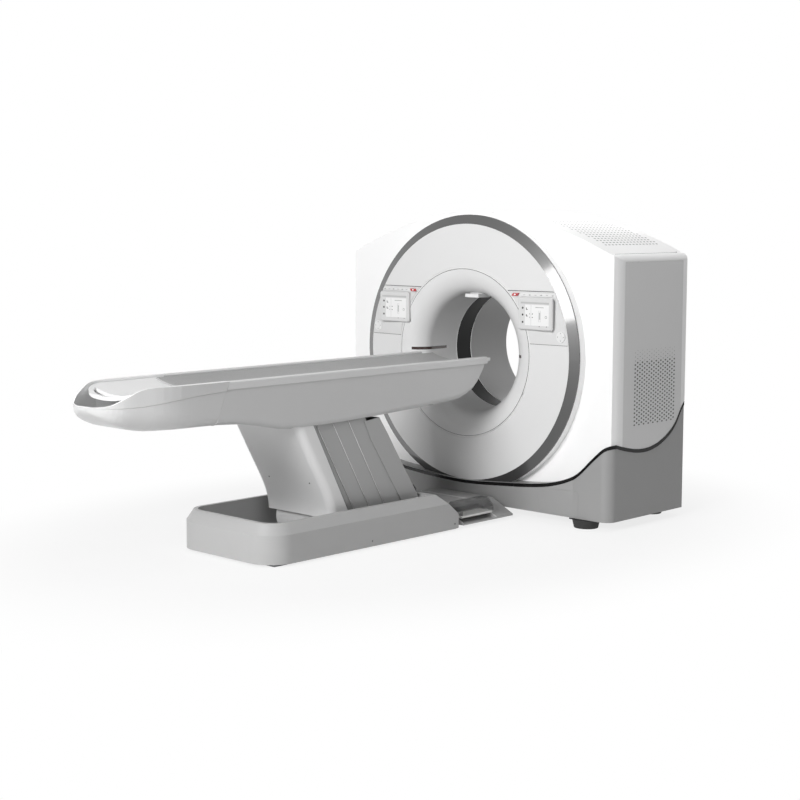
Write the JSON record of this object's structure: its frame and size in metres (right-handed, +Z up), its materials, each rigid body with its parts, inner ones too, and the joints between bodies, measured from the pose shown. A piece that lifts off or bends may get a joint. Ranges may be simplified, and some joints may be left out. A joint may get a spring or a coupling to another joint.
{
  "type": "medical CT scanner",
  "caption": "Ring-shaped gantry with a rotating source and detector inside, and a lifting patient table whose cradle slides through the bore.",
  "frame": {"origin": "on the floor, under the bore axis, at the middle of the gantry's four floor anchors", "axes": "+Y along the bore axis from the table to the back of the gantry, +Z up, +X to the right seen from the table"},
  "size_m": [1.997, 3.55, 1.755],
  "materials": {
    "bearing_steel": "ground",
    "black_gloss": "gloss",
    "black_plastic": "matte",
    "black_rubber": "matte",
    "column_grey": "satin",
    "cradle_white": "satin",
    "dark_metal": "satin",
    "disc_grey": "satin",
    "frame_steel": "satin powder coat",
    "hood_dark": "clear dark",
    "indicator_plastic": "satin",
    "key_plastic": "satin",
    "laser_glass": "gloss",
    "mat_grey": "fine grained vinyl",
    "pad_plastic": "satin",
    "panel_grey": "satin",
    "pedal_pale": "satin",
    "platform_grey": "satin",
    "ring_metal": "brushed dark anodised",
    "rotor_aluminium": "machined",
    "skirt_grey": "satin",
    "slip_ring_brass": "polished tracks",
    "stop_red": "satin",
    "strip_grey": "satin",
    "table_grey": "satin",
    "table_light": "satin",
    "tablet_bezel": "satin",
    "unit_grey": "satin",
    "white_cover": "satin paint",
    "window_black": "gloss"
  },
  "bodies": {
    "gantry_and_base": {"gantry_frame": "frame_steel", "levelling_feet": "black_rubber", "main_bearing": "bearing_steel", "ring_motor_stator": "dark_metal", "brush_block": "black_plastic", "front_housing": "white_cover", "roof_cover": "white_cover", "roof_edge_rails": "white_cover", "side_panels": "panel_grey", "rear_cover": "white_cover", "front_disc": "disc_grey", "trim_ring": "ring_metal", "front_funnel": "disc_grey", "laser_windows": "laser_glass", "scan_window": "window_black", "rear_funnel": "disc_grey", "control_fascias": "disc_grey", "key_strips": "key_plastic", "tablets": "tablet_bezel", "bore_indicator": "indicator_plastic", "base_skirt": "skirt_grey", "skirt_hatches": "skirt_grey", "skirt_trim": "black_gloss", "table_base_shell": "table_grey", "table_base_frame": "frame_steel", "lift_drive_unit": "dark_metal", "pedal_platform": "platform_grey", "pedal_hoods": "hood_dark"},
    "rotor": {"rotating_frame": "rotor_aluminium", "slip_ring": "slip_ring_brass", "xray_tube": "dark_metal", "hv_generator": "unit_grey", "heat_exchanger": "rotor_aluminium", "detector_arc": "unit_grey", "balance_weights": "frame_steel"},
    "e_stop_left": {"e_stop_left": "stop_red"},
    "e_stop_right": {"e_stop_right": "stop_red"},
    "pad_left": {"direction_pad_left": "pad_plastic"},
    "pad_right": {"direction_pad_right": "pad_plastic"},
    "centre_key_left": {"centre_key_left": "pad_plastic"},
    "centre_key_right": {"centre_key_right": "pad_plastic"},
    "pedal_left": {"foot_pedal_left": "pedal_pale"},
    "pedal_right": {"foot_pedal_right": "pedal_pale"},
    "rear_arm": {"lift_arm_rear": "frame_steel", "column_rear_cover": "column_grey"},
    "front_arm": {"lift_arm_front": "frame_steel", "column_front_shell": "table_grey", "heel_drum": "column_grey"},
    "strip_1": {"side_strip_1": "strip_grey"},
    "strip_2": {"side_strip_2": "strip_grey"},
    "strip_3": {"side_strip_3": "strip_grey"},
    "strip_4": {"side_strip_4": "strip_grey"},
    "table_top": {"table_top_frame": "frame_steel", "hull_shell": "table_grey", "nose_cap": "table_light", "side_rims": "table_light", "cradle_drive_unit": "dark_metal"},
    "cradle": {"cradle": "cradle_white", "cradle_grip": "cradle_white", "mat": "mat_grey"}
  },
  "joints": [
    {"name": "rotor_spin", "type": "hinge", "parent": "gantry_and_base", "child": "rotor", "pos_m": [0, 0.2, 0.938], "axis": [0, 1, 0], "continuous": true},
    {"name": "e_stop_left_press", "type": "slide", "parent": "gantry_and_base", "child": "e_stop_left", "axis": [0, 1, 0], "range_m": [0, 0.004], "stiffness_N_per_m": 600, "springref_m": -0.003},
    {"name": "pad_left_press", "type": "slide", "parent": "gantry_and_base", "child": "pad_left", "axis": [0, 1, 0], "range_m": [0, 0.0015], "stiffness_N_per_m": 800, "springref_m": -0.002},
    {"name": "centre_key_left_press", "type": "slide", "parent": "gantry_and_base", "child": "centre_key_left", "axis": [0, 1, 0], "range_m": [0, 0.0012], "stiffness_N_per_m": 500, "springref_m": -0.002},
    {"name": "e_stop_right_press", "type": "slide", "parent": "gantry_and_base", "child": "e_stop_right", "axis": [0, 1, 0], "range_m": [0, 0.004], "stiffness_N_per_m": 600, "springref_m": -0.003},
    {"name": "pad_right_press", "type": "slide", "parent": "gantry_and_base", "child": "pad_right", "axis": [0, 1, 0], "range_m": [0, 0.0015], "stiffness_N_per_m": 800, "springref_m": -0.002},
    {"name": "centre_key_right_press", "type": "slide", "parent": "gantry_and_base", "child": "centre_key_right", "axis": [0, 1, 0], "range_m": [0, 0.0012], "stiffness_N_per_m": 500, "springref_m": -0.002},
    {"name": "pedal_right_press", "type": "hinge", "parent": "gantry_and_base", "child": "pedal_right", "pos_m": [0.254, -0.705, 0.06], "axis": [0, 1, 0], "range_deg": [0, 8], "stiffness_Nm_per_rad": 6, "springref_deg": -14.32},
    {"name": "pedal_left_press", "type": "hinge", "parent": "gantry_and_base", "child": "pedal_left", "pos_m": [-0.254, -0.705, 0.06], "axis": [0, -1, 0], "range_deg": [0, 8], "stiffness_Nm_per_rad": 6, "springref_deg": -14.32},
    {"name": "lift", "type": "hinge", "parent": "gantry_and_base", "child": "rear_arm", "pos_m": [0, -1.19, 0.118], "axis": [-1, 0, 0], "range_deg": [-42.7, 5]},
    {"name": "front_arm_turn", "type": "hinge", "parent": "gantry_and_base", "child": "front_arm", "pos_m": [0, -1.635, 0.118], "axis": [-1, 0, 0], "range_deg": [-42.7, 5]},
    {"name": "strip_1_turn", "type": "hinge", "parent": "gantry_and_base", "child": "strip_1", "pos_m": [0, -1.5728, 0.118], "axis": [-1, 0, 0], "range_deg": [-42.7, 5]},
    {"name": "strip_2_turn", "type": "hinge", "parent": "gantry_and_base", "child": "strip_2", "pos_m": [0, -1.4808, 0.118], "axis": [-1, 0, 0], "range_deg": [-42.7, 5]},
    {"name": "strip_3_turn", "type": "hinge", "parent": "gantry_and_base", "child": "strip_3", "pos_m": [0, -1.3678, 0.118], "axis": [-1, 0, 0], "range_deg": [-42.7, 5]},
    {"name": "strip_4_turn", "type": "hinge", "parent": "gantry_and_base", "child": "strip_4", "pos_m": [0, -1.2553, 0.118], "axis": [-1, 0, 0], "range_deg": [-42.7, 5]},
    {"name": "table_level", "type": "hinge", "parent": "rear_arm", "child": "table_top", "pos_m": [0, -1.542, 0.72768], "axis": [-1, 0, 0], "range_deg": [-5, 42.7]},
    {"name": "cradle_slide", "type": "slide", "parent": "table_top", "child": "cradle", "axis": [0, 1, 0], "range_m": [0, 1.55]}
  ],
  "couplings": [
    {"joint": "front_arm_turn", "follows": "lift", "ratio": 1},
    {"joint": "strip_1_turn", "follows": "lift", "ratio": 1},
    {"joint": "strip_2_turn", "follows": "lift", "ratio": 1},
    {"joint": "strip_3_turn", "follows": "lift", "ratio": 1},
    {"joint": "strip_4_turn", "follows": "lift", "ratio": 1},
    {"joint": "table_level", "follows": "lift", "ratio": -1}
  ]
}
